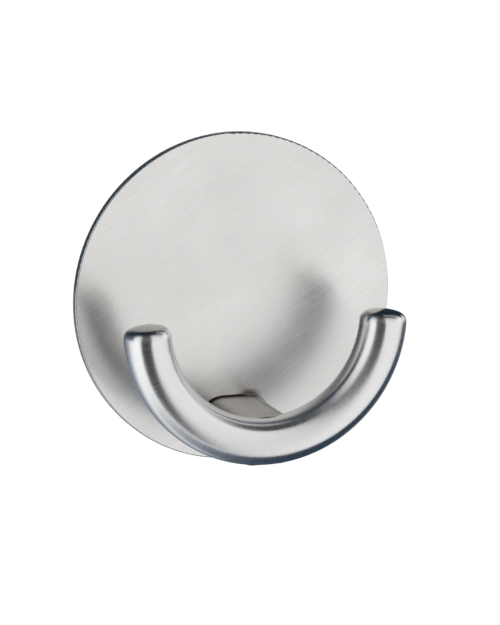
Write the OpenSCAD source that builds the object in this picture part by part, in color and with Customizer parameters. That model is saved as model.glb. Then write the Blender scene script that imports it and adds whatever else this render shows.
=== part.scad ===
// Adhesive wall hook: a round steel plate on a foam pad carries a half-ring bar on a short stem.
// Millimetres. X runs right along the wall, Z up, and the wall face is the plane Y = 0.
// The hook stands out of the wall towards -Y, and the origin is the middle of the pad's wall side.

/* [Back plate] */
// Diameter of the round back plate
plate_d = 57; // [54:0.5:80]
// Thickness of the back plate
plate_t = 1.5; // [1.2:0.1:3]
// Rounding of the plate's front edge
plate_edge_r = 0.25; // [0.1:0.05:0.6]

/* [Hook bar] */
// Diameter of the round bar
bar_d = 8; // [7:0.1:8.1]
// Radius of the bend, to the middle of the bar
bend_r = 21; // [17:0.25:23]
// Clear gap between the plate's face and the bar
bar_gap = 12.25; // [10:0.25:13]
// Distance of the bend's centre below the plate's centre
hook_drop = 0.7; // [0:0.1:1.5]
// Angle that the bend sweeps through, in degrees
bend_sweep = 170; // [140:1:180]
// Rounding around the edge of each end face
tip_edge_r = 1.8; // [0.4:0.1:2.5]
// Radius of the dome that crowns each end face
tip_crown_r = 10; // [8:0.5:40]

/* [Stem] */
// Width of the stem's slot-shaped section
stem_w = 12.6; // [12:0.1:18]
// Height of the stem's slot-shaped section
stem_h = 8.2; // [8.2:0.1:11]

/* [Fixing screw] */
// Outside diameter of the screw's thread
screw_d = 4; // [3:0.1:4]
// Diameter of the countersunk head
screw_head_d = 7.5; // [6:0.1:7.5]
// Length of the screw, head included
screw_len = 20; // [19:0.25:20.5]
// Distance across the flats of the hexagon socket
socket_af = 2.5; // [2:0.1:2.5]
// Depth of the hexagon socket
socket_depth = 1.4; // [1:0.1:1.6]

/* [Locating pins] */
// Diameter of each pin
pin_d = 1.2; // [1:0.1:1.3]
// Length of each pin
pin_len = 4; // [3:0.1:8]
// Distance between the two pins
pin_spread = 9.8; // [9.6:0.05:9.9]

/* [Adhesive pad] */
// Diameter of the pad
pad_d = 53; // [40:0.5:54]
// Thickness of the foam core
foam_t = 0.8; // [0.5:0.1:2]
// Thickness of each adhesive film
film_t = 0.1; // [0.1:0.05:0.3]

/* [Fits] */
// Gap all round the screw's head and shank
screw_clear = 0.15; // [0.1:0.05:0.2]
// Gap all round the screw in its tapped hole
thread_clear = 0.02; // [0.01:0.01:0.05]
// Gap all round each pin in its hole
pin_clear = 0.02; // [0.01:0.01:0.05]
// Free depth beyond the end of the screw and of each pin
end_clear = 0.4; // [0.2:0.1:0.6]

/* [Hidden] */
$fn = 96;

// How far a cut runs past the face that it opens
overrun = 1;

// Distances out from the wall
foam_back = film_t;
foam_front = foam_back + foam_t;
plate_back = foam_front + film_t;
plate_front = plate_back + plate_t;
bar_mid = plate_front + bar_gap + bar_d / 2;

// Heights above the plate's centre
bend_height = -hook_drop;
stem_height = bend_height - bend_r;

// Half the bar's thickness, and the angle by which each end of the bend stops short of level
bar_r = bar_d / 2;
end_angle = (180 - bend_sweep) / 2;

// The dome's centre lies behind the end of the bend, so that the dome runs smoothly into the rounded edge
dome_drop = sqrt(pow(tip_crown_r - tip_edge_r, 2) - pow(bar_r - tip_edge_r, 2));
dome_reach = tip_crown_r * (bar_r - tip_edge_r) / (tip_crown_r - tip_edge_r);
dome_top = tip_crown_r - dome_drop;

// A right-angled countersink is as deep as its step in radius
head_depth = (screw_head_d - screw_d) / 2;

// Turns what is drawn flat on the wall, with Z out of it, into the part's own frame
module on_wall(depth = 0) {
    rotate([90, 0, 0])
        translate([0, 0, depth])
            children();
}

// One round layer of the pad
module pad_layer(depth, thickness) {
    on_wall(depth)
        cylinder(h = thickness, d = pad_d);
}

// Half a ring of round bar, without its domed ends
module half_ring() {
    translate([0, bend_height, bar_mid])
        rotate([0, 0, 180 + end_angle])
            rotate_extrude(angle = bend_sweep)
                translate([bend_r, 0])
                    circle(d = bar_d);
}

// Half the outline of a domed end with a rounded edge, about the bar's own axis, with a plug into the bar
module tip_profile() {
    translate([0, -tip_edge_r])
        square([bar_r - tip_edge_r, tip_edge_r]);
    intersection() {
        translate([0, -dome_drop])
            circle(r = tip_crown_r);
        square([dome_reach, dome_top]);
    }
    intersection() {
        translate([bar_r - tip_edge_r, 0])
            circle(r = tip_edge_r);
        square([bar_r, tip_edge_r]);
    }
}

// The domed ends that close the bar on its right and its left
module tips() {
    for (end = [[-end_angle, -90], [180 + end_angle, 90]])
        translate([0, bend_height, bar_mid])
            rotate([0, 0, end[0]])
                translate([bend_r, 0, 0])
                    rotate([end[1], 0, 0])
                        rotate_extrude()
                            tip_profile();
}

// A slot-shaped outline with round ends
module slot_outline(width, height) {
    flat = width - height;
    translate([-flat / 2, -height / 2])
        square([flat, height]);
    for (side = [-1, 1])
        translate([side * flat / 2, 0])
            circle(d = height);
}

// A countersunk screw's body, grown all round by a gap, with its head's top at zero
module screw_body(gap, length) {
    cylinder(h = head_depth, d1 = screw_head_d + 2 * gap, d2 = screw_d + 2 * gap);
    cylinder(h = length, d = screw_d + 2 * gap);
}

// Places what follows on the screw's axis, with zero at the back of the plate
module at_screw() {
    on_wall(plate_back)
        translate([0, stem_height, 0])
            children();
}

// Places one copy of what follows on each pin's axis, with zero at the back of the plate
module at_pins() {
    at_screw()
        for (side = [-1, 1])
            translate([side * pin_spread / 2, 0, 0])
                children();
}

// Round stainless plate with a rounded front edge, a countersunk hole and two pin holes
module back_plate() {
    color("gainsboro")
        difference() {
            on_wall(plate_back)
                rotate_extrude() {
                    square([plate_d / 2 - plate_edge_r, plate_t]);
                    square([plate_d / 2, plate_t - plate_edge_r]);
                    translate([plate_d / 2 - plate_edge_r, plate_t - plate_edge_r])
                        circle(r = plate_edge_r);
                }
            at_screw()
                screw_body(screw_clear, plate_t + overrun);
            at_pins()
                translate([0, 0, -overrun])
                    cylinder(h = plate_t + 2 * overrun, d = pin_d + 2 * pin_clear);
        }
}

// Short slot-shaped post, coped at its front end to the bar, bored for the screw and the pins
module stem() {
    color("silver")
        difference() {
            on_wall(plate_front)
                translate([0, stem_height, 0])
                    linear_extrude(height = bar_mid - plate_front)
                        slot_outline(stem_w, stem_h);
            on_wall()
                half_ring();
            at_screw()
                screw_body(screw_clear, screw_len);
            at_pins()
                cylinder(h = pin_len + end_clear, d = pin_d + 2 * pin_clear);
        }
}

// Round bar bent to half a ring, open at the top, with domed ends and a tapped blind hole at the back
module hook_bar() {
    color("silver")
        difference() {
            on_wall() {
                half_ring();
                tips();
            }
            at_screw()
                cylinder(h = screw_len + end_clear, d = screw_d + 2 * thread_clear);
        }
}

// Countersunk screw from the back of the plate, through the stem, into the bar
module fixing_screw() {
    color("lightslategray")
        at_screw()
            difference() {
                screw_body(0, screw_len);
                translate([0, 0, -overrun])
                    cylinder(h = socket_depth + overrun, d = socket_af / cos(30), $fn = 6);
            }
}

// Two small pins that stop the stem from turning on the plate
module locating_pins() {
    color("slategray")
        at_pins()
            cylinder(h = pin_len, d = pin_d);
}

// Soft foam disc in the middle of the pad
module foam_core() {
    color("whitesmoke")
        pad_layer(foam_back, foam_t);
}

// Adhesive film that holds the foam to the plate
module plate_side_adhesive() {
    color("lightgray")
        pad_layer(foam_front, film_t);
}

// Adhesive film that holds the foam to the wall
module wall_side_adhesive() {
    color("lightgray")
        pad_layer(0, film_t);
}

back_plate();
stem();
hook_bar();
fixing_screw();
locating_pins();
foam_core();
plate_side_adhesive();
wall_side_adhesive();
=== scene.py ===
"""Looks of an adhesive wall hook: brushed plate, satin half-ring bar on a stem, and a foam pad.

Metres, in the part's own frame: the wall is the plane Y = 0, the hook stands out towards -Y, and Z is up.
"""

import logging
import math
from dataclasses import dataclass, field
from enum import Enum
from typing import Any, Callable

import bmesh
import bpy
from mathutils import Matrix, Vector


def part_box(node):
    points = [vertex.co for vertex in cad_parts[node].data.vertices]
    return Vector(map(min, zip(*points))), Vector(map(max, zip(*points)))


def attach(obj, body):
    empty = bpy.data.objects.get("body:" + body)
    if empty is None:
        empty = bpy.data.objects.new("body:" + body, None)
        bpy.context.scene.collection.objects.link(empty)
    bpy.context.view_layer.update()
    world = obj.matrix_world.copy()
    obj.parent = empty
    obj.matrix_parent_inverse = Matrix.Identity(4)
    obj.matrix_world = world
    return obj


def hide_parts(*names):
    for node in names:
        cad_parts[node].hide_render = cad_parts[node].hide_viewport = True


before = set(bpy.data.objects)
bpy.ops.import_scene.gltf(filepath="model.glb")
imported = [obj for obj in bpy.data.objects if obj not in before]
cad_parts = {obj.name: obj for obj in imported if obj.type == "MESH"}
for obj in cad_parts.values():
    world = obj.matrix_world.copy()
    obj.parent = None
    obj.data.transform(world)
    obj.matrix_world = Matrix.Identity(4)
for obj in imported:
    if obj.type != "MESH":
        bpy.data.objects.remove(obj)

LOG = logging.getLogger("wall_hook")
MM = 0.001
ROOT = "root"
UV_MAP = "UVMap"
WHITE = "#ffffff"

# Edges sharper than this stay sharp in the smooth shading
CREASE = math.radians(35)

# Sockets of a Mix node: its factor, two numbers and two colours, and its colour result
FACTOR = 0
NUMBER_A = 2
NUMBER_B = 3
COLOUR_A = 6
COLOUR_B = 7
COLOUR_RESULT = 2

# Radians of wave that a Wave texture of scale one has to the unit
WAVE_RATE = 20

# Where the plate's painted shade beside the stem's foot is centred, as a share of the stem's half width
FOOT_SHADE_SIDE = 0.4

# Kinds of ray that don't see the studio's cards
CARDS_UNSEEN_BY = ("camera", "diffuse", "transmission", "volume_scatter", "shadow")

Socket = bpy.types.NodeSocket
Tree = bpy.types.NodeTree
Material = bpy.types.Material
Point = tuple[float, float, float]


class Slot(Enum):
    """Names of material slots of the record; no piece here is given them."""

    BAR = "satin_bar"
    FOAM = "white_foam"


def linear(hex_colour: str) -> tuple[float, float, float, float]:
    """Turns an sRGB hex colour into linear light.

    Args:
        hex_colour: six hex digits, with or without a leading #.

    Returns:
        Red, green, blue and an alpha of one.
    """
    digits = hex_colour.lstrip("#")
    channels = [int(digits[i : i + 2], 16) / 255 for i in (0, 2, 4)]
    light = [c / 12.92 if c <= 0.04045 else ((c + 0.055) / 1.055) ** 2.4 for c in channels]
    return (light[0], light[1], light[2], 1.0)


def add(tree: Tree, kind: str, inputs: dict[Any, Any] | None = None, **settings: Any) -> bpy.types.Node:
    """Adds a node to a tree.

    Args:
        tree: the node tree that gets the node.
        kind: the node's type name.
        inputs: values or output sockets for the node's inputs, by name or index.
        **settings: attributes to set on the node.

    Returns:
        The new node.
    """
    node = tree.nodes.new(kind)
    for name, value in settings.items():
        setattr(node, name, value)
    for key, value in (inputs or {}).items():
        socket = node.inputs[key]
        if isinstance(value, Socket):
            tree.links.new(value, socket)
        else:
            socket.default_value = value
    return node


def new_material(name: str) -> tuple[Material, Tree]:
    """Makes an empty node material.

    Args:
        name: the material's name.

    Returns:
        The material and its node tree.
    """
    material = bpy.data.materials.new(name)
    material.use_nodes = True
    material.node_tree.nodes.clear()
    return material, material.node_tree


def finish_material(tree: Tree, shader: Socket) -> None:
    """Links a shader to the material's output.

    Args:
        tree: the material's node tree.
        shader: the socket that gives the surface.
    """
    add(tree, "ShaderNodeOutputMaterial", {"Surface": shader})


def new_object(name: str, data: Any) -> bpy.types.Object:
    """Makes an object at the origin and links it to the scene.

    Args:
        name: the object's name.
        data: its mesh, curve, camera or light.

    Returns:
        The object.
    """
    thing = bpy.data.objects.new(name, data)
    bpy.context.scene.collection.objects.link(thing)
    return thing


def mesh_object(name: str, build: Callable[[bmesh.types.BMesh], None]) -> bpy.types.Object:
    """Makes a smooth mesh object at the origin from bmesh code.

    Args:
        name: the object's name.
        build: fills the empty bmesh.

    Returns:
        The object, linked to the scene.
    """
    mesh = bpy.data.meshes.new(name)
    work = bmesh.new()
    build(work)
    bmesh.ops.recalc_face_normals(work, faces=work.faces)
    for face in work.faces:
        face.smooth = True
    for edge in work.edges:
        edge.smooth = edge.calc_face_angle(0.0) < CREASE
    work.to_mesh(mesh)
    work.free()
    return new_object(name, mesh)


def stand_for(piece: bpy.types.Object, node: str) -> None:
    """Lets a piece take the place of a solid.

    Args:
        piece: the finished piece.
        node: the solid's name.
    """
    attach(piece, ROOT)
    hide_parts(node)


@dataclass(frozen=True)
class BrushedPlateSteel:
    """Stainless plate, brushed in straight strokes: soft pale reflections, drawn out across the grain, and
    brown shade painted beside the stem's foot.
    """

    name: str = "brushed_stainless_plate"
    bright: str = "#e3e2e0"
    dull: str = "#d6d5d3"
    bright_range: tuple[float, float] = (0.12, 0.4)
    # Painted shade beside the stem's foot: its colour, reach, core and strength
    foot_shade_colour: str = "#6b4a33"
    foot_shade_reach: Point = (2.6 * MM, 1.5 * MM, 1.5 * MM)
    foot_shade_core: float = 0.6
    foot_shade_strength: float = 0.85
    grain_angle: float = math.radians(33)
    # Real strokes are a few hundredths of a millimetre wide, and are drawn wider here so that they show
    grain_width: float = 0.24 * MM
    grain_length: float = 6 * MM
    grain_detail: float = 5.0
    grain_roughness: float = 0.6
    patch_size: float = 14 * MM
    patch_detail: float = 2.0
    scratch_depth: float = 0.004 * MM
    scratch_strength: float = 0.35
    roughness: float = 0.26
    roughness_spread: float = 0.05
    anisotropy: float = 0.75

    def build(self, foot_shade_centre: Vector) -> Material:
        """Builds the material.

        Args:
            foot_shade_centre: where brown shade is painted on the steel beside the stem's foot.

        Returns:
            The material.
        """
        material, tree = new_material(self.name)
        place = add(tree, "ShaderNodeTexCoord").outputs["Object"]
        turned = add(tree, "ShaderNodeVectorRotate", {
            "Vector": place,
            "Angle": self.grain_angle,
        }, rotation_type="Y_AXIS").outputs["Vector"]
        strokes = add(tree, "ShaderNodeMapping", {
            "Vector": turned,
            "Scale": (1 / self.grain_length, 1 / self.grain_width, 1 / self.grain_width),
        }).outputs["Vector"]
        grain = add(tree, "ShaderNodeTexNoise", {
            "Vector": strokes,
            "Scale": 1.0,
            "Detail": self.grain_detail,
            "Roughness": self.grain_roughness,
        }).outputs["Fac"]
        patches = add(tree, "ShaderNodeTexNoise", {
            "Vector": place,
            "Scale": 1 / self.patch_size,
            "Detail": self.patch_detail,
        }).outputs["Fac"]
        blend = add(tree, "ShaderNodeMath", {0: grain, 1: patches}, operation="MULTIPLY").outputs[0]
        share = add(tree, "ShaderNodeMapRange", {
            "Value": blend,
            "From Min": self.bright_range[0],
            "From Max": self.bright_range[1],
        }).outputs[0]
        steel = add(tree, "ShaderNodeMix", {
            FACTOR: share,
            COLOUR_A: linear(self.dull),
            COLOUR_B: linear(self.bright),
        }, data_type="RGBA").outputs[COLOUR_RESULT]
        # Painted shade: brown darkening of the plate around a spot beside the stem's foot
        centred = add(tree, "ShaderNodeMapping", {
            "Vector": place,
            "Location": tuple(-c / reach for c, reach in zip(foot_shade_centre, self.foot_shade_reach)),
            "Scale": tuple(1 / reach for reach in self.foot_shade_reach),
        }).outputs["Vector"]
        halo = add(tree, "ShaderNodeTexGradient", {
            "Vector": centred,
        }, gradient_type="SPHERICAL").outputs["Fac"]
        foot_shading = add(tree, "ShaderNodeMapRange", {
            "Value": halo,
            "From Max": self.foot_shade_core,
            "To Max": self.foot_shade_strength,
        }).outputs[0]
        colour = add(tree, "ShaderNodeMix", {
            FACTOR: foot_shading,
            COLOUR_A: steel,
            COLOUR_B: linear(self.foot_shade_colour),
        }, data_type="RGBA").outputs[COLOUR_RESULT]
        rough = add(tree, "ShaderNodeMapRange", {
            "Value": grain,
            "To Min": self.roughness - self.roughness_spread,
            "To Max": self.roughness + self.roughness_spread,
        }).outputs[0]
        bump = add(tree, "ShaderNodeBump", {
            "Height": grain,
            "Strength": self.scratch_strength,
            "Distance": self.scratch_depth,
        }).outputs["Normal"]
        across = add(tree, "ShaderNodeCombineXYZ", {
            "X": -math.sin(self.grain_angle),
            "Z": math.cos(self.grain_angle),
        }).outputs[0]
        shader = add(tree, "ShaderNodeBsdfPrincipled", {
            "Base Color": colour,
            "Metallic": 1.0,
            "Roughness": rough,
            "Anisotropic": self.anisotropy,
            "Tangent": across,
            "Normal": bump,
        })
        finish_material(tree, shader.outputs["BSDF"])
        return material


@dataclass(frozen=True)
class SatinSteel:
    """Stainless steel, satin-polished in rings: soft lengthwise bands with fine cross hairlines."""

    name: str = "satin_stainless"
    bright: str = "#f0f0f0"
    dull: str = "#d4d4d4"
    # Real hairlines are a few hundredths of a millimetre wide, and are drawn wider here so that they show
    line_width: float = 0.16 * MM
    line_length: float = 5 * MM
    line_detail: float = 4.0
    line_roughness: float = 0.65
    line_range: tuple[float, float] = (0.25, 0.75)
    line_depth: float = 0.004 * MM
    line_strength: float = 0.4
    roughness: float = 0.31
    roughness_spread: float = 0.07
    anisotropy: float = 0.85

    def vary_finish_and_shade(self, tree: Tree, colour: Socket, rough: Socket, place: Socket) -> tuple[Socket, Socket]:
        """Changes the steel where its surface differs, and paints shade where a kind of steel has it; the
        plain one does neither.

        Args:
            tree: the material's node tree.
            colour: the clean steel's colour.
            rough: the clean steel's roughness.
            place: the place along and around the piece, in metres.

        Returns:
            The colour and the roughness that the surface gets.
        """
        return colour, rough

    def build(self) -> Material:
        """Builds the material, on a UV map that runs along and around the piece in metres.

        Returns:
            The material.
        """
        material, tree = new_material(self.name)
        place = add(tree, "ShaderNodeUVMap", uv_map=UV_MAP).outputs["UV"]
        rings = add(tree, "ShaderNodeMapping", {
            "Vector": place,
            "Scale": (1 / self.line_width, 1 / self.line_length, 1.0),
        }).outputs["Vector"]
        lines = add(tree, "ShaderNodeTexNoise", {
            "Vector": rings,
            "Scale": 1.0,
            "Detail": self.line_detail,
            "Roughness": self.line_roughness,
        }).outputs["Fac"]
        clean = add(tree, "ShaderNodeMix", {
            FACTOR: lines,
            COLOUR_A: linear(self.dull),
            COLOUR_B: linear(self.bright),
        }, data_type="RGBA").outputs[COLOUR_RESULT]
        brushed = add(tree, "ShaderNodeMapRange", {
            "Value": lines,
            "From Min": self.line_range[0],
            "From Max": self.line_range[1],
            "To Min": self.roughness - self.roughness_spread,
            "To Max": self.roughness + self.roughness_spread,
        }).outputs[0]
        bump = add(tree, "ShaderNodeBump", {
            "Height": lines,
            "Strength": self.line_strength,
            "Distance": self.line_depth,
        }).outputs["Normal"]
        along = add(tree, "ShaderNodeTangent", direction_type="UV_MAP", uv_map=UV_MAP).outputs["Tangent"]
        colour, rough = self.vary_finish_and_shade(tree, clean, brushed, place)
        shader = add(tree, "ShaderNodeBsdfPrincipled", {
            "Base Color": colour,
            "Metallic": 1.0,
            "Roughness": rough,
            "Anisotropic": self.anisotropy,
            "Tangent": along,
            "Normal": bump,
        })
        finish_material(tree, shader.outputs["BSDF"])
        return material


@dataclass(frozen=True)
class SatinBarSteel(SatinSteel):
    """Satin steel of the bar, whose ground end faces are darker and smoother than its sides."""

    name: str = "satin_stainless_bar"
    end_colour: str = "#b4b1ad"
    length: float = 66 * MM
    end_length: float = 1.0 * MM
    end_fade: float = 0.4 * MM
    end_roughness: float = 0.17

    def vary_finish_and_shade(self, tree: Tree, colour: Socket, rough: Socket, place: Socket) -> tuple[Socket, Socket]:
        """Darkens and smooths the two end faces.

        Args:
            tree: the material's node tree.
            colour: the clean steel's colour.
            rough: the clean steel's roughness.
            place: the place along and around the bar, in metres.

        Returns:
            The colour and the roughness that the surface gets.
        """
        half = self.length / 2
        along = add(tree, "ShaderNodeSeparateXYZ", {"Vector": place}).outputs["X"]
        away = add(tree, "ShaderNodeMath", {0: along, 1: half}, operation="SUBTRACT").outputs[0]
        reach = add(tree, "ShaderNodeMath", {0: away}, operation="ABSOLUTE").outputs[0]
        share = add(tree, "ShaderNodeMapRange", {
            "Value": reach,
            "From Min": half - self.end_length,
            "From Max": half - self.end_length + self.end_fade,
        }).outputs[0]
        darkened = add(tree, "ShaderNodeMix", {
            FACTOR: share,
            COLOUR_A: colour,
            COLOUR_B: linear(self.end_colour),
        }, data_type="RGBA").outputs[COLOUR_RESULT]
        smoothed = add(tree, "ShaderNodeMix", {
            FACTOR: share,
            NUMBER_A: rough,
            NUMBER_B: self.end_roughness,
        }).outputs[0]
        return darkened, smoothed


@dataclass(frozen=True)
class SatinStemSteel(SatinSteel):
    """Satin steel of the stem: duller than the bar, with shade painted into the corner at its foot."""

    name: str = "satin_stainless_stem"
    bright: str = "#c2bfbb"
    dull: str = "#b2afab"
    # Painted shade in the corner at the foot: its colour, reach and core, and its fade from left to right
    corner_shade_colour: str = "#2e2a27"
    foot: float = 2.5 * MM
    corner_shade_reach: float = 0.42 * MM
    corner_shade_core: float = 0.14 * MM
    corner_shade_least: float = 0.25
    shade_faintest_at: float = 6 * MM
    shade_fullest_at: float = 1 * MM

    def vary_finish_and_shade(self, tree: Tree, colour: Socket, rough: Socket, place: Socket) -> tuple[Socket, Socket]:
        """Paints shade into the corner at the foot, less towards the right.

        Args:
            tree: the material's node tree.
            colour: the clean steel's colour.
            rough: the clean steel's roughness.
            place: the place along and around the stem, in metres.

        Returns:
            The colour and the roughness that the surface gets.
        """
        along = add(tree, "ShaderNodeSeparateXYZ", {"Vector": place}).outputs["X"]
        corner = add(tree, "ShaderNodeMapRange", {
            "Value": along,
            "From Min": self.foot + self.corner_shade_reach,
            "From Max": self.foot + self.corner_shade_core,
        }).outputs[0]
        spot = add(tree, "ShaderNodeTexCoord").outputs["Object"]
        right = add(tree, "ShaderNodeSeparateXYZ", {"Vector": spot}).outputs["X"]
        side = add(tree, "ShaderNodeMapRange", {
            "Value": right,
            "From Min": self.shade_faintest_at,
            "From Max": self.shade_fullest_at,
            "To Min": self.corner_shade_least,
        }).outputs[0]
        share = add(tree, "ShaderNodeMath", {0: corner, 1: side}, operation="MULTIPLY").outputs[0]
        # Painted shade: the corner at the foot is darkened, most on the left
        corner_shaded = add(tree, "ShaderNodeMix", {
            FACTOR: share,
            COLOUR_A: colour,
            COLOUR_B: linear(self.corner_shade_colour),
        }, data_type="RGBA").outputs[COLOUR_RESULT]
        return corner_shaded, rough


@dataclass(frozen=True)
class TurnedSteel:
    """Plain turned steel of the screw and the pins: greyer than the hook, with lathe lines."""

    name: str = "turned_steel"
    bright: str = "#b9bbbf"
    dull: str = "#9fa2a6"
    # Real lathe lines lie about a tenth of a millimetre apart, and are drawn wider here so that they show
    line_pitch: float = 1.257 * MM
    line_waver: float = 1.5
    roughness: float = 0.34

    def build(self) -> Material:
        """Builds the material.

        Returns:
            The material.
        """
        material, tree = new_material(self.name)
        place = add(tree, "ShaderNodeTexCoord").outputs["Object"]
        lines = add(tree, "ShaderNodeTexWave", {
            "Vector": place,
            "Scale": math.tau / (WAVE_RATE * self.line_pitch),
            "Distortion": self.line_waver,
        }, bands_direction="Y").outputs["Fac"]
        colour = add(tree, "ShaderNodeMix", {
            FACTOR: lines,
            COLOUR_A: linear(self.dull),
            COLOUR_B: linear(self.bright),
        }, data_type="RGBA").outputs[COLOUR_RESULT]
        shader = add(tree, "ShaderNodeBsdfPrincipled", {
            "Base Color": colour,
            "Metallic": 1.0,
            "Roughness": self.roughness,
        })
        finish_material(tree, shader.outputs["BSDF"])
        return material


@dataclass(frozen=True)
class ClosedCellFoam:
    """White closed-cell polyethylene foam: chalky, with cut cells along its edge."""

    name: str = "closed_cell_foam"
    light: str = "#eceae4"
    shade: str = "#d6d3cb"
    cell: float = 0.3 * MM
    cell_depth: float = 0.06 * MM
    cell_strength: float = 0.6
    roughness: float = 0.85

    def build(self) -> Material:
        """Builds the material.

        Returns:
            The material.
        """
        material, tree = new_material(self.name)
        place = add(tree, "ShaderNodeTexCoord").outputs["Object"]
        cells = add(tree, "ShaderNodeTexVoronoi", {
            "Vector": place,
            "Scale": 1 / self.cell,
        }).outputs["Distance"]
        colour = add(tree, "ShaderNodeMix", {
            FACTOR: cells,
            COLOUR_A: linear(self.shade),
            COLOUR_B: linear(self.light),
        }, data_type="RGBA").outputs[COLOUR_RESULT]
        bump = add(tree, "ShaderNodeBump", {
            "Height": cells,
            "Strength": self.cell_strength,
            "Distance": self.cell_depth,
        }).outputs["Normal"]
        shader = add(tree, "ShaderNodeBsdfPrincipled", {
            "Base Color": colour,
            "Roughness": self.roughness,
            "Normal": bump,
        })
        finish_material(tree, shader.outputs["BSDF"])
        return material


@dataclass(frozen=True)
class AcrylicAdhesive:
    """Film of tacky acrylic adhesive over white foam: milky, slightly warm, with a soft wavy gloss."""

    name: str = "acrylic_adhesive"
    light: str = "#f0ede5"
    shade: str = "#d0cbbd"
    # The real mottling is finer, and is drawn coarser here so that it shows
    fleck: float = 0.9 * MM
    fleck_detail: float = 3.0
    ripple: float = 2.4 * MM
    ripple_detail: float = 2.0
    ripple_depth: float = 0.08 * MM
    ripple_strength: float = 0.5
    roughness_range: tuple[float, float] = (0.22, 0.42)

    def build(self) -> Material:
        """Builds the material.

        Returns:
            The material.
        """
        material, tree = new_material(self.name)
        place = add(tree, "ShaderNodeTexCoord").outputs["Object"]
        flecks = add(tree, "ShaderNodeTexNoise", {
            "Vector": place,
            "Scale": 1 / self.fleck,
            "Detail": self.fleck_detail,
        }).outputs["Fac"]
        ripples = add(tree, "ShaderNodeTexNoise", {
            "Vector": place,
            "Scale": 1 / self.ripple,
            "Detail": self.ripple_detail,
        }).outputs["Fac"]
        colour = add(tree, "ShaderNodeMix", {
            FACTOR: flecks,
            COLOUR_A: linear(self.shade),
            COLOUR_B: linear(self.light),
        }, data_type="RGBA").outputs[COLOUR_RESULT]
        rough = add(tree, "ShaderNodeMapRange", {
            "Value": flecks,
            "To Min": self.roughness_range[0],
            "To Max": self.roughness_range[1],
        }).outputs[0]
        bump = add(tree, "ShaderNodeBump", {
            "Height": ripples,
            "Strength": self.ripple_strength,
            "Distance": self.ripple_depth,
        }).outputs["Normal"]
        shader = add(tree, "ShaderNodeBsdfPrincipled", {
            "Base Color": colour,
            "Roughness": rough,
            "Normal": bump,
        })
        finish_material(tree, shader.outputs["BSDF"])
        return material


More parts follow.
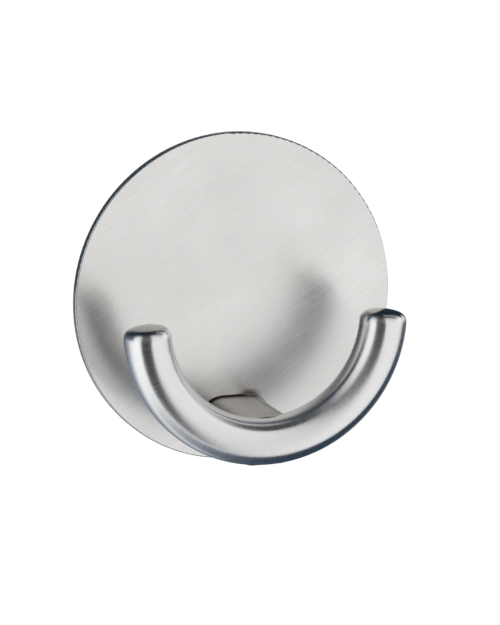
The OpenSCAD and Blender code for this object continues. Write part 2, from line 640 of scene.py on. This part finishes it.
@dataclass
class HookBar:
    """Round bar bent to half a ring, with domed ends, made along its path."""

    hook_drop: float = 0.7 * MM
    sweep: float = math.radians(170)
    tip_edge_radius: float = 1.8 * MM
    tip_dome_radius: float = 10 * MM
    steps_along: int = 160
    steps_edge: int = 12
    steps_dome: int = 8
    steps_around: int = 72
    merge_distance: float = 0.002 * MM
    radius: float = field(init=False)
    bend_radius: float = field(init=False)
    centre: Vector = field(init=False)

    def __post_init__(self) -> None:
        """Reads the bar's thickness, bend and place from its solid."""
        low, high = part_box("hook_bar")
        self.radius = (high.y - low.y) / 2
        self.bend_radius = -low.z - self.hook_drop - self.radius
        self.centre = Vector((0, (low.y + high.y) / 2, -self.hook_drop))

    def tip_stations(self) -> list[tuple[float, float]]:
        """Works out the domed end.

        Returns:
            Pairs of distance past the end of the bend and radius there, from the bend to the top of the dome.
        """
        edge, dome = self.tip_edge_radius, self.tip_dome_radius
        inset = self.radius - edge
        drop = math.sqrt((dome - edge) ** 2 - inset**2)
        turn = math.atan2(drop, inset)
        stations = []
        for step in range(1, self.steps_edge + 1):
            angle = turn * step / self.steps_edge
            stations.append((edge * math.sin(angle), inset + edge * math.cos(angle)))
        for step in range(1, self.steps_dome + 1):
            angle = turn + (math.pi / 2 - turn) * step / self.steps_dome
            stations.append((dome * math.sin(angle) - drop, dome * math.cos(angle)))
        return stations

    def path(self) -> list[tuple[Vector, float]]:
        """Works out the bar's centre line.

        Returns:
            Points from the left tip to the right one, each with the bar's radius there.
        """
        half = self.sweep / 2
        points = []
        for step in range(self.steps_along + 1):
            angle = half * (2 * step / self.steps_along - 1)
            place = self.centre + self.bend_radius * Vector((math.sin(angle), 0, -math.cos(angle)))
            points.append((place, self.radius))
        right_end = points[-1][0]
        outward = Vector((math.cos(half), 0, math.sin(half)))
        right = [(right_end + outward * past, radius) for past, radius in self.tip_stations()]
        left = [(Vector((-place.x, place.y, place.z)), radius) for place, radius in reversed(right)]
        return left + points + right

    def length(self) -> float:
        """Adds up the bar's length along its centre line, tips included."""
        return self.sweep * self.bend_radius + 2 * self.tip_stations()[-1][0]

    def path_curve(self) -> bpy.types.Object:
        """Makes the centre line.

        Returns:
            A curve object whose point radius is the bar's.
        """
        data = bpy.data.curves.new("hook_bar_path", "CURVE")
        data.dimensions = "3D"
        spline = data.splines.new("POLY")
        path = self.path()
        spline.points.add(len(path) - 1)
        for point, (place, radius) in zip(spline.points, path):
            point.co = (*place, 1.0)
            point.radius = radius
        return new_object("hook_bar_path", data)

    def sweep_tree(self) -> Tree:
        """Makes the nodes that sweep a round section along a path and lay a UV map on it in metres.

        Returns:
            The node tree, with named inputs for its sizes.
        """
        tree = bpy.data.node_groups.new("bar_along_path", "GeometryNodeTree")
        sockets = (
            ("Path", "INPUT", "NodeSocketGeometry"),
            ("Steps Around", "INPUT", "NodeSocketInt"),
            ("Girth", "INPUT", "NodeSocketFloat"),
            ("Merge Distance", "INPUT", "NodeSocketFloat"),
            ("Finish", "INPUT", "NodeSocketMaterial"),
            ("Bar", "OUTPUT", "NodeSocketGeometry"),
        )
        for name, way, kind in sockets:
            tree.interface.new_socket(name, in_out=way, socket_type=kind)
        given = add(tree, "NodeGroupInput").outputs
        parameter = add(tree, "GeometryNodeSplineParameter").outputs
        path = add(tree, "GeometryNodeStoreNamedAttribute", {
            "Geometry": given["Path"],
            "Name": "along",
            "Value": parameter["Length"],
        })
        ring = add(tree, "GeometryNodeCurveArc", {
            "Resolution": given["Steps Around"],
            "Radius": 1.0,
            "Start Angle": 0.0,
            "Sweep Angle": math.tau,
        })
        section = add(tree, "GeometryNodeStoreNamedAttribute", {
            "Geometry": ring.outputs["Curve"],
            "Name": "around",
            "Value": parameter["Factor"],
        })
        swept = add(tree, "GeometryNodeCurveToMesh", {
            "Curve": path.outputs[0],
            "Profile Curve": section.outputs[0],
            "Scale": add(tree, "GeometryNodeInputRadius").outputs["Radius"],
        })
        along = add(tree, "GeometryNodeInputNamedAttribute", {"Name": "along"}).outputs[0]
        around = add(tree, "GeometryNodeInputNamedAttribute", {"Name": "around"}).outputs[0]
        girth = add(tree, "ShaderNodeMath", {0: around, 1: given["Girth"]}, operation="MULTIPLY").outputs[0]
        chart = add(tree, "ShaderNodeCombineXYZ", {"X": along, "Y": girth}).outputs[0]
        mapped = add(tree, "GeometryNodeStoreNamedAttribute", {
            "Geometry": swept.outputs["Mesh"],
            "Name": UV_MAP,
            "Value": chart,
        }, data_type="FLOAT2", domain="CORNER")
        closed = add(tree, "GeometryNodeMergeByDistance", {
            "Geometry": mapped.outputs[0],
            "Distance": given["Merge Distance"],
        })
        smooth = add(tree, "GeometryNodeSetShadeSmooth", {"Geometry": closed.outputs[0]})
        real = add(tree, "GeometryNodeRealizeInstances", {"Geometry": smooth.outputs[0]})
        dressed = add(tree, "GeometryNodeSetMaterial", {
            "Geometry": real.outputs[0],
            "Material": given["Finish"],
        })
        add(tree, "NodeGroupOutput", {"Bar": dressed.outputs[0]})
        return tree

    def build(self) -> bpy.types.Object:
        """Makes the bar as a plain mesh that stands for its solid.

        Returns:
            The finished piece.
        """
        curve = self.path_curve()
        tree = self.sweep_tree()
        sockets = {s.name: s.identifier for s in tree.interface.items_tree if s.in_out == "INPUT"}
        modifier = curve.modifiers.new("sweep", "NODES")
        modifier.node_group = tree
        modifier[sockets["Steps Around"]] = self.steps_around + 1
        modifier[sockets["Girth"]] = math.tau * self.radius
        modifier[sockets["Merge Distance"]] = self.merge_distance
        modifier[sockets["Finish"]] = SatinBarSteel(length=self.length()).build()
        depsgraph = bpy.context.evaluated_depsgraph_get()
        mesh = bpy.data.meshes.new_from_object(curve.evaluated_get(depsgraph), depsgraph=depsgraph)
        curve.modifiers.remove(modifier)
        bpy.data.objects.remove(curve)
        mesh.name = "satin_hook_bar"
        work = bmesh.new()
        work.from_mesh(mesh)
        bmesh.ops.recalc_face_normals(work, faces=work.faces)
        work.to_mesh(mesh)
        work.free()
        piece = new_object("satin_hook_bar", mesh)
        stand_for(piece, "hook_bar")
        return piece


@dataclass
class Stem:
    """Slot-shaped post between plate and bar, coped to the bar, with a small fillet at its foot."""

    material: Material
    bar: HookBar
    fillet: float = 0.4 * MM
    steps_round: int = 40
    steps_flat: int = 8
    steps_fillet: int = 8
    steps_long: int = 16
    rings_inside: int = 8
    half_width: float = field(init=False)
    half_height: float = field(init=False)
    foot: float = field(init=False)
    middle: float = field(init=False)

    def __post_init__(self) -> None:
        """Reads the stem's section and place from its solid."""
        low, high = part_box("stem")
        self.half_width = (high.x - low.x) / 2
        self.half_height = (high.z - low.z) / 2
        self.foot = high.y
        self.middle = (low.z + high.z) / 2

    def outline(self, grow: float) -> list[tuple[float, float]]:
        """Works out the slot-shaped outline.

        Args:
            grow: how far the outline lies outside the stem's section.

        Returns:
            Points across and up from the stem's middle, once round.
        """
        flat = self.half_width - self.half_height
        radius = self.half_height + grow
        points = []
        for side, start in ((1, -math.pi / 2), (-1, math.pi / 2)):
            for step in range(self.steps_round + 1):
                angle = start + math.pi * step / self.steps_round
                points.append((side * flat + radius * math.cos(angle), radius * math.sin(angle)))
            for step in range(1, self.steps_flat):
                points.append((side * flat * (1 - 2 * step / self.steps_flat), side * radius))
        return points

    def front(self, across: float, up: float) -> float:
        """Finds where the stem meets the bar.

        Args:
            across: distance right of the stem's middle.
            up: distance above the stem's middle.

        Returns:
            The place along Y, on the back of the bar or at its middle plane.
        """
        reach = math.hypot(across, self.middle + up - self.bar.centre.z)
        off = reach - self.bar.bend_radius
        depth = math.sqrt(max(self.bar.radius**2 - off**2, 0.0))
        return self.bar.centre.y + depth

    def rings(self) -> list[list[Point]]:
        """Works out the rings of points from the foot, along the stem, to near the middle of its front.

        Returns:
            Rings of points across, along Y and up, measured from the stem's middle height.
        """
        section = self.outline(0)
        rings = []
        for step in range(self.steps_fillet + 1):
            angle = math.pi / 2 * step / self.steps_fillet
            grow = self.fillet * (1 - math.sin(angle))
            rise = self.fillet * (1 - math.cos(angle))
            rings.append([(x, self.foot - rise, z) for x, z in self.outline(grow)])
        start = self.foot - self.fillet
        for step in range(1, self.steps_long + 1):
            share = step / self.steps_long
            rings.append([(x, start + (self.front(x, z) - start) * share, z) for x, z in section])
        for step in range(1, self.rings_inside):
            share = 1 - step / self.rings_inside
            rings.append([(x * share, self.front(x * share, z * share), z * share) for x, z in section])
        return rings

    def fill(self, work: bmesh.types.BMesh) -> None:
        """Fills a bmesh with the stem, closed at its foot and its front.

        Args:
            work: the empty bmesh.
        """
        chart = work.loops.layers.uv.new(UV_MAP)
        made = [[work.verts.new((x, y, self.middle + z)) for x, y, z in ring] for ring in self.rings()]
        count = len(made[0])
        # The hairlines run round the stem as they would round a bar of its height
        girth = math.tau * self.half_height
        for near, far in zip(made, made[1:]):
            for i in range(count):
                j = (i + 1) % count
                face = work.faces.new((near[i], near[j], far[j], far[i]))
                shares = (i / count, (i + 1) / count, (i + 1) / count, i / count)
                for loop, share in zip(face.loops, shares):
                    loop[chart].uv = (-loop.vert.co.y, share * girth)
        tip = work.verts.new((0, self.front(0, 0), self.middle))
        base = work.verts.new((0, self.foot, self.middle))
        for i in range(count):
            j = (i + 1) % count
            work.faces.new((made[-1][i], made[-1][j], tip))
            work.faces.new((made[0][j], made[0][i], base))

    def build(self) -> bpy.types.Object:
        """Makes the stem as a closed mesh that stands for its solid.

        Returns:
            The finished piece.
        """
        piece = mesh_object("satin_stem", self.fill)
        piece.data.materials.append(self.material)
        stand_for(piece, "stem")
        return piece


@dataclass
class FoamPad:
    """Foam disc of the pad, with a soft, slightly hollow cut edge."""

    material: Material
    steps_round: int = 180
    steps_edge: int = 10
    rings: int = 24
    corner: float = 0.12 * MM
    corner_share: float = 0.1
    hollow: float = 0.12 * MM
    wobble: float = 0.05 * MM
    waves: tuple[int, int] = (11, 17)
    wave_shift: float = 1.0
    radius: float = field(init=False)
    back: float = field(init=False)
    front: float = field(init=False)

    def __post_init__(self) -> None:
        """Reads the disc's place from its solid."""
        low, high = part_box("foam_core")
        self.radius = (high.x - low.x) / 2
        self.front = low.y
        self.back = high.y

    def profile(self) -> list[tuple[float, float]]:
        """Works out half the disc's section.

        Returns:
            Radius and place along Y, from near the middle of the back, round the edge, to that of the front.
        """
        rim = self.radius - self.corner
        steps = [self.radius * step / self.rings for step in range(1, self.rings)]
        inner = [r for r in steps if r < rim]
        points = [(r, self.back) for r in inner] + [(rim, self.back)]
        for step in range(self.steps_edge + 1):
            share = step / self.steps_edge
            dip = self.hollow * math.sin(math.pi * share)
            across = self.corner_share + (1 - 2 * self.corner_share) * share
            points.append((self.radius - dip, self.back + (self.front - self.back) * across))
        return points + [(rim, self.front)] + [(r, self.front) for r in reversed(inner)]

    def fill(self, work: bmesh.types.BMesh) -> None:
        """Fills a bmesh with the disc, whose edge wavers a little.

        Args:
            work: the empty bmesh.
        """
        turns = [math.tau * step / self.steps_round for step in range(self.steps_round)]
        first, second = self.waves
        edge = self.radius - 2 * self.corner
        rings = []
        for r, y in self.profile():
            ring = []
            for turn in turns:
                wave = self.wobble * (math.sin(first * turn) + math.sin(second * turn + self.wave_shift)) / 2
                reach = r - abs(wave) if r > edge else r
                ring.append(work.verts.new((reach * math.cos(turn), y, reach * math.sin(turn))))
            rings.append(ring)
        for near, far in zip(rings, rings[1:]):
            for i in range(self.steps_round):
                j = (i + 1) % self.steps_round
                work.faces.new((near[i], near[j], far[j], far[i]))
        for ring, y in ((rings[0], self.back), (rings[-1], self.front)):
            middle = work.verts.new((0, y, 0))
            for i in range(self.steps_round):
                work.faces.new((ring[i], ring[(i + 1) % self.steps_round], middle))

    def build(self) -> bpy.types.Object:
        """Makes the foam disc that stands for its solid.

        Returns:
            The finished piece.
        """
        piece = mesh_object("foam_disc", self.fill)
        piece.data.materials.append(self.material)
        stand_for(piece, "foam_core")
        return piece


def dress(node: str, material: Material) -> None:
    """Gives a solid that stays its finish.

    Args:
        node: the solid's name.
        material: the finish.
    """
    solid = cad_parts[node]
    if not solid.material_slots:
        solid.data.materials.append(material)
    for place in solid.material_slots:
        place.material = material
    LOG.info("%s keeps its solid, finished in %s", node, material.name)


@dataclass(frozen=True)
class Card:
    """Card of the studio, seen only in reflections, shaded from one edge to the opposite one."""

    name: str
    start_colour: str
    end_colour: str
    start_edge: tuple[Point, ...]
    end_edge: tuple[Point, ...]

    @classmethod
    def flat(cls, name: str, start_colour: str, end_colour: str, corner: Point, width: Point,
             run: Point) -> "Card":
        """Makes a four-sided card.

        Args:
            name: the card's name.
            start_colour: its sRGB hex colour along the edge that starts at the corner.
            end_colour: its colour along the opposite edge.
            corner: where it starts.
            width: step from the corner to the other end of the first edge.
            run: step from the first edge to the opposite one.

        Returns:
            The card, not yet built.
        """
        ends = (Vector(corner), Vector(corner) + Vector(width))
        opposite = [end + Vector(run) for end in ends]
        return cls(name, start_colour, end_colour, tuple(map(tuple, ends)), tuple(map(tuple, opposite)))

    @classmethod
    def ring(cls, name: str, inner_colour: str, outer_colour: str, start: float, end: float, inner: float,
             outer: float, behind: float, steps: int = 24) -> "Card":
        """Makes part of a ring behind the plate.

        Args:
            name: the card's name.
            inner_colour: its sRGB hex colour along the inner arc.
            outer_colour: its colour along the outer arc.
            start: direction of its first side, in degrees from the right towards the top.
            end: direction of its last side.
            inner: radius of the inner arc.
            outer: radius of the outer arc.
            behind: how far it lies behind the wall plane.
            steps: number of faces.

        Returns:
            The card, not yet built.
        """
        turns = [math.radians(start + (end - start) * step / steps) for step in range(steps + 1)]
        arcs = [tuple((r * math.cos(t), behind, r * math.sin(t)) for t in turns) for r in (inner, outer)]
        return cls(name, inner_colour, outer_colour, arcs[0], arcs[1])

    def build(self) -> None:
        """Makes the card."""
        count = len(self.start_edge)
        faces = [(i, i + 1, count + i + 1, count + i) for i in range(count - 1)]
        mesh = bpy.data.meshes.new(self.name)
        mesh.from_pydata(self.start_edge + self.end_edge, [], faces)
        shades = mesh.color_attributes.new("shade", "FLOAT_COLOR", "POINT")
        for place, colour in zip(shades.data, (self.start_colour,) * count + (self.end_colour,) * count):
            place.color = linear(colour)
        card = new_object(self.name, mesh)
        material, tree = new_material(self.name)
        shade = add(tree, "ShaderNodeAttribute", attribute_name="shade").outputs["Color"]
        glow = add(tree, "ShaderNodeEmission", {"Color": shade, "Strength": 1.0})
        finish_material(tree, glow.outputs[0])
        mesh.materials.append(material)
        for ray in CARDS_UNSEEN_BY:
            setattr(card, f"visible_{ray}", False)


@dataclass(frozen=True)
class SoftBox:
    """Soft box that faces the hook; its azimuth is in degrees right of straight out of the wall."""

    name: str
    azimuth: float
    height: float
    distance: float
    width: float
    tall: float

    def build(self, radiance: float) -> None:
        """Makes the lamp.

        Args:
            radiance: its brightness, which reflections add to that of the white surround behind it.
        """
        data = bpy.data.lights.new(self.name, "AREA")
        data.shape = "RECTANGLE"
        data.size = self.width
        data.size_y = self.tall
        data.energy = radiance * math.pi * self.width * self.tall
        seat = new_object(self.name, data)
        turn = math.radians(self.azimuth)
        seat.location = (math.sin(turn) * self.distance, -math.cos(turn) * self.distance, self.height)
        seat.rotation_euler = (-seat.location).to_track_quat("-Z", "Y").to_euler()
        seat.visible_camera = False


@dataclass
class Studio:
    """Camera, lamps, floor and cards around the hook."""

    azimuth: float = math.radians(-19.295)
    elevation: float = math.radians(11.183)
    distance: float = 513 * MM
    lens: float = 171.8
    aim_right: float = 2.79 * MM
    aim_down: float = 2.94 * MM
    floor_drop: float = 0.5
    floor_size: float = 6.0
    floor_colour: str = "#f2f2f2"
    floor_lift: float = 0.2
    ambient: float = 0.95
    lamp_radiance: float = 0.22
    soft_boxes: tuple[SoftBox, ...] = (
        SoftBox("soft_box_left", -79, -0.06, 0.6, 0.5, 0.85),
        SoftBox("soft_box_right", 72, 0.28, 0.6, 0.34, 0.3),
    )

    def ring_cards(self) -> list[Card]:
        """Lists the cards behind the plate, which draw the dark edges of plate and bar.

        Returns:
            Parts of a ring that the plate hides from the front.
        """
        behind = 0.012
        near = 0.0305
        far = 0.11
        navy = "#24384a"
        graphite = "#3c4650"
        rings = (
            ("card_behind_right", navy, navy, 0, 18, near, 0.06),
            ("card_behind_upper_right", navy, navy, 18, 75, near, 0.14),
            ("card_behind_top", "#2b3d4d", "#3a4855", 75, 178, near, 1.0),
            ("card_behind_left", "#56667a", "#dce2e8", 178, 262, near, 0.09),
            ("card_behind_bottom", "#33485a", "#2c3c4c", 262, 310, near, 0.4),
            ("card_behind_lower_right", "#8894a0", graphite, 310, 360, near, far),
            ("card_far_lower_right", graphite, navy, 310, 360, far, 2.0),
        )
        return [Card.ring(*ring, behind) for ring in rings]

    def flat_cards(self) -> list[Card]:
        """Lists the cards above, below and beside the camera, which draw the bands along the bar.

        Returns:
            One card above, two below, and a strip of four by the camera, from its foot upwards.
        """
        dusk = "#363636"
        slate = "#2c3c4c"
        charcoal = "#26282a"
        grey = "#7c7c7c"
        below = (0, -0.052, -0.1)
        below_width = (0, 0.064, 0)
        strip_left = -0.36
        strip_front = -0.3
        strip_width = (0.345, 0, 0)
        strip = (
            ("card_by_camera_foot", "#6c6c6c", charcoal, -0.5, 0.28),
            ("card_by_camera_low", charcoal, charcoal, -0.22, 0.17),
            ("card_by_camera_mid", charcoal, grey, -0.05, 0.15),
            ("card_by_camera_high", grey, "#5c5c5c", 0.1, 0.45),
        )
        cards = [
            Card.flat("card_above", dusk, dusk, (0.5, -0.25, 0.4), (0, 0.262, 0), (-0.82, 0, 0)),
            Card.flat("card_below", slate, slate, below, below_width, (0.4, 0, 0)),
            Card.flat("card_below_left", "#3c4c5e", "#c4ccd4", below, below_width, (-0.08, 0, 0)),
        ]
        for name, start, end, foot, tall in strip:
            corner = (strip_left, strip_front, foot)
            cards.append(Card.flat(name, start, end, corner, strip_width, (0, 0, tall)))
        return cards

    def camera(self, focus: Vector) -> None:
        """Places the camera as the photograph has it.

        Args:
            focus: the middle of the plate's front.
        """
        data = bpy.data.cameras.new("camera")
        data.lens = self.lens
        seat = new_object("camera", data)
        out = Vector((
            math.sin(self.azimuth) * math.cos(self.elevation),
            -math.cos(self.azimuth) * math.cos(self.elevation),
            math.sin(self.elevation),
        ))
        seat.location = focus + out * self.distance
        aim = focus + Vector((self.aim_right, 0, -self.aim_down))
        seat.rotation_euler = (aim - seat.location).to_track_quat("-Z", "Y").to_euler()
        bpy.context.scene.camera = seat

    def seen_directly(self, tree: Tree) -> Socket:
        """Adds the test of whether a ray comes from the camera, a reflection or a see-through surface.

        Args:
            tree: the tree that gets the nodes.

        Returns:
            A socket that is one for such rays and zero for the others.
        """
        path = add(tree, "ShaderNodeLightPath").outputs
        first = add(tree, "ShaderNodeMath", {
            0: path["Is Camera Ray"],
            1: path["Is Glossy Ray"],
        }, operation="MAXIMUM").outputs[0]
        return add(tree, "ShaderNodeMath", {
            0: first,
            1: path["Is Transmission Ray"],
        }, operation="MAXIMUM").outputs[0]

    def world(self) -> None:
        """Makes a white surround for camera and reflections, and a plain ambient light for the rest."""
        world = bpy.data.worlds.new("studio")
        bpy.context.scene.world = world
        world.use_nodes = True
        tree = world.node_tree
        tree.nodes.clear()
        glow = add(tree, "ShaderNodeMapRange", {
            "Value": self.seen_directly(tree),
            "To Min": self.ambient,
            "To Max": 1.0,
        }).outputs[0]
        surround = add(tree, "ShaderNodeBackground", {"Color": linear(WHITE), "Strength": glow})
        add(tree, "ShaderNodeOutputWorld", {"Surface": surround.outputs[0]})

    def floor(self) -> None:
        """Makes a plain pale floor that looks white and still takes a shadow."""
        half = self.floor_size / 2
        sides = ((-half, -half), (half, -half), (half, half), (-half, half))
        mesh = bpy.data.meshes.new("floor")
        mesh.from_pydata([(x, y, -self.floor_drop) for x, y in sides], [], [(0, 1, 2, 3)])
        floor = new_object("floor", mesh)
        material, tree = new_material("pale_floor")
        lift = add(tree, "ShaderNodeMath", {
            0: self.seen_directly(tree),
            1: self.floor_lift,
        }, operation="MULTIPLY").outputs[0]
        glow = add(tree, "ShaderNodeEmission", {"Color": linear(WHITE), "Strength": lift})
        matt = add(tree, "ShaderNodeBsdfDiffuse", {"Color": linear(self.floor_colour)})
        both = add(tree, "ShaderNodeAddShader", {0: glow.outputs[0], 1: matt.outputs[0]})
        finish_material(tree, both.outputs[0])
        mesh.materials.append(material)

    def build(self, focus: Vector) -> None:
        """Makes the whole studio.

        Args:
            focus: the middle of the plate's front.
        """
        bpy.context.scene.view_settings.view_transform = "Standard"
        self.camera(focus)
        self.world()
        self.floor()
        for card in self.ring_cards() + self.flat_cards():
            card.build()
        for soft_box in self.soft_boxes:
            soft_box.build(self.lamp_radiance)


def main() -> None:
    """Builds the hook and its studio."""
    logging.basicConfig(level=logging.INFO, format="%(message)s")
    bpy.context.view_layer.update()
    plate_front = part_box("back_plate")[0].y
    stem_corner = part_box("stem")[1]
    Studio().build(Vector((0, plate_front, 0)))
    bar = HookBar()
    LOG.info("made %s", bar.build().name)
    stem = Stem(SatinStemSteel(foot=-plate_front).build(), bar)
    LOG.info("made %s", stem.build().name)
    pad = FoamPad(ClosedCellFoam().build())
    LOG.info("made %s", pad.build().name)
    # Centre of the painted shade on the plate beside the stem's foot
    foot_shade_centre = Vector((stem_corner.x * FOOT_SHADE_SIDE, plate_front, stem_corner.z))
    dress("back_plate", BrushedPlateSteel().build(foot_shade_centre))
    turned = TurnedSteel().build()
    for node in ("fixing_screw", "locating_pins"):
        dress(node, turned)
    film = AcrylicAdhesive().build()
    for node in ("plate_side_adhesive", "wall_side_adhesive"):
        dress(node, film)


if __name__ == "__main__":
    main()
